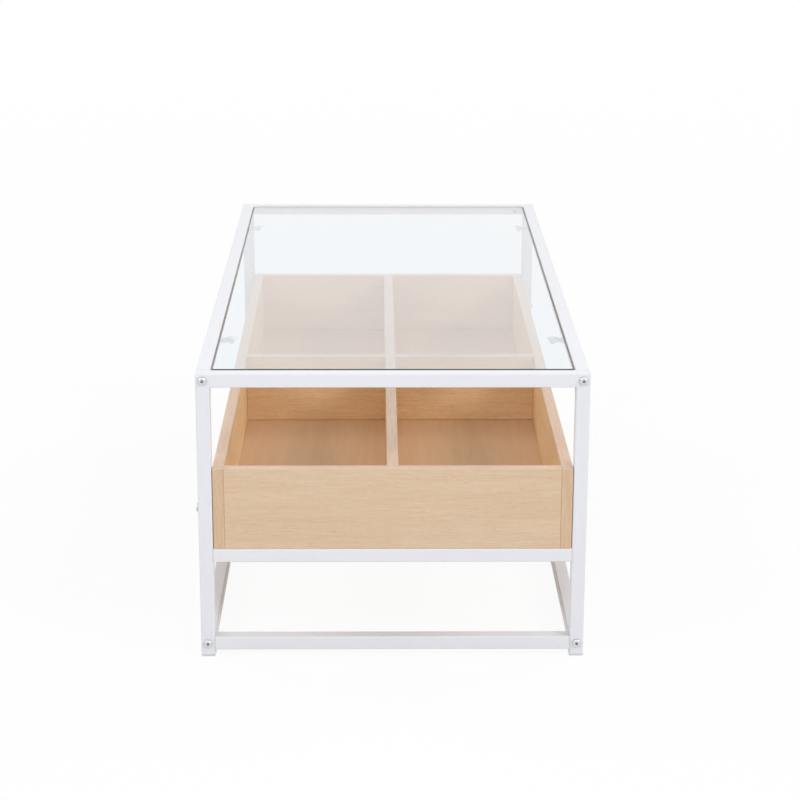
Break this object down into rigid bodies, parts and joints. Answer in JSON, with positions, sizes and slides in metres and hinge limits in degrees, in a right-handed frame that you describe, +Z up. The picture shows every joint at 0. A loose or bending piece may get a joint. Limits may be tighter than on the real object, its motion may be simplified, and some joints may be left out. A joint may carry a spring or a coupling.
{
  "type": "coffee table",
  "caption": "Rectangular coffee table with a white square-tube frame, a lift-out glass top inset in the frame and a divided wooden storage box slung between the legs.",
  "frame": {"origin": "on the floor, under the middle of the table", "axes": "+X to the right across the table, +Y from the front end to the rear end, +Z up"},
  "size_m": [0.5566, 1.1066, 0.425],
  "materials": {
    "white_powder_coat": "smooth satin powder coat on steel",
    "maple_melamine": "maple-look melamine on particle board, satin",
    "clear_glass": "clear tempered glass with ground edges",
    "zinc_steel": "bright zinc-plated steel",
    "grey_plastic": "moulded light grey polyethylene",
    "clear_vinyl": "clear soft vinyl",
    "beech_dowel": "turned beech, unfinished"
  },
  "bodies": {
    "frame": {"box_bolts": "zinc_steel", "box_bottom_panel": "maple_melamine", "box_corner_dowels": "beech_dowel", "box_cross_divider": "maple_melamine", "box_divider_dowels": "beech_dowel", "box_front_end": "maple_melamine", "box_inserts": "zinc_steel", "box_left_side": "maple_melamine", "box_long_divider": "maple_melamine", "box_rear_end": "maple_melamine", "box_right_side": "maple_melamine", "front_bottom_rail": "white_powder_coat", "front_frame_bolts": "zinc_steel", "front_left_glass_tab": "white_powder_coat", "front_left_glide": "grey_plastic", "front_left_leg": "white_powder_coat", "front_left_suction_cup": "clear_vinyl", "front_right_glass_tab": "white_powder_coat", "front_right_glide": "grey_plastic", "front_right_leg": "white_powder_coat", "front_right_suction_cup": "clear_vinyl", "front_shelf_rail": "white_powder_coat", "front_top_rail": "white_powder_coat", "left_bottom_rail": "white_powder_coat", "left_top_rail": "white_powder_coat", "long_rail_nuts": "zinc_steel", "rear_bottom_rail": "white_powder_coat", "rear_frame_bolts": "zinc_steel", "rear_left_glass_tab": "white_powder_coat", "rear_left_glide": "grey_plastic", "rear_left_leg": "white_powder_coat", "rear_left_suction_cup": "clear_vinyl", "rear_right_glass_tab": "white_powder_coat", "rear_right_glide": "grey_plastic", "rear_right_leg": "white_powder_coat", "rear_right_suction_cup": "clear_vinyl", "rear_shelf_rail": "white_powder_coat", "rear_top_rail": "white_powder_coat", "right_bottom_rail": "white_powder_coat", "right_top_rail": "white_powder_coat"},
    "glass": {"glass_top": "clear_glass"}
  },
  "joints": [
    {"name": "glass_lift", "type": "slide", "parent": "frame", "child": "glass", "axis": [0, 0, 1], "range_m": [0, 0.1]}
  ]
}
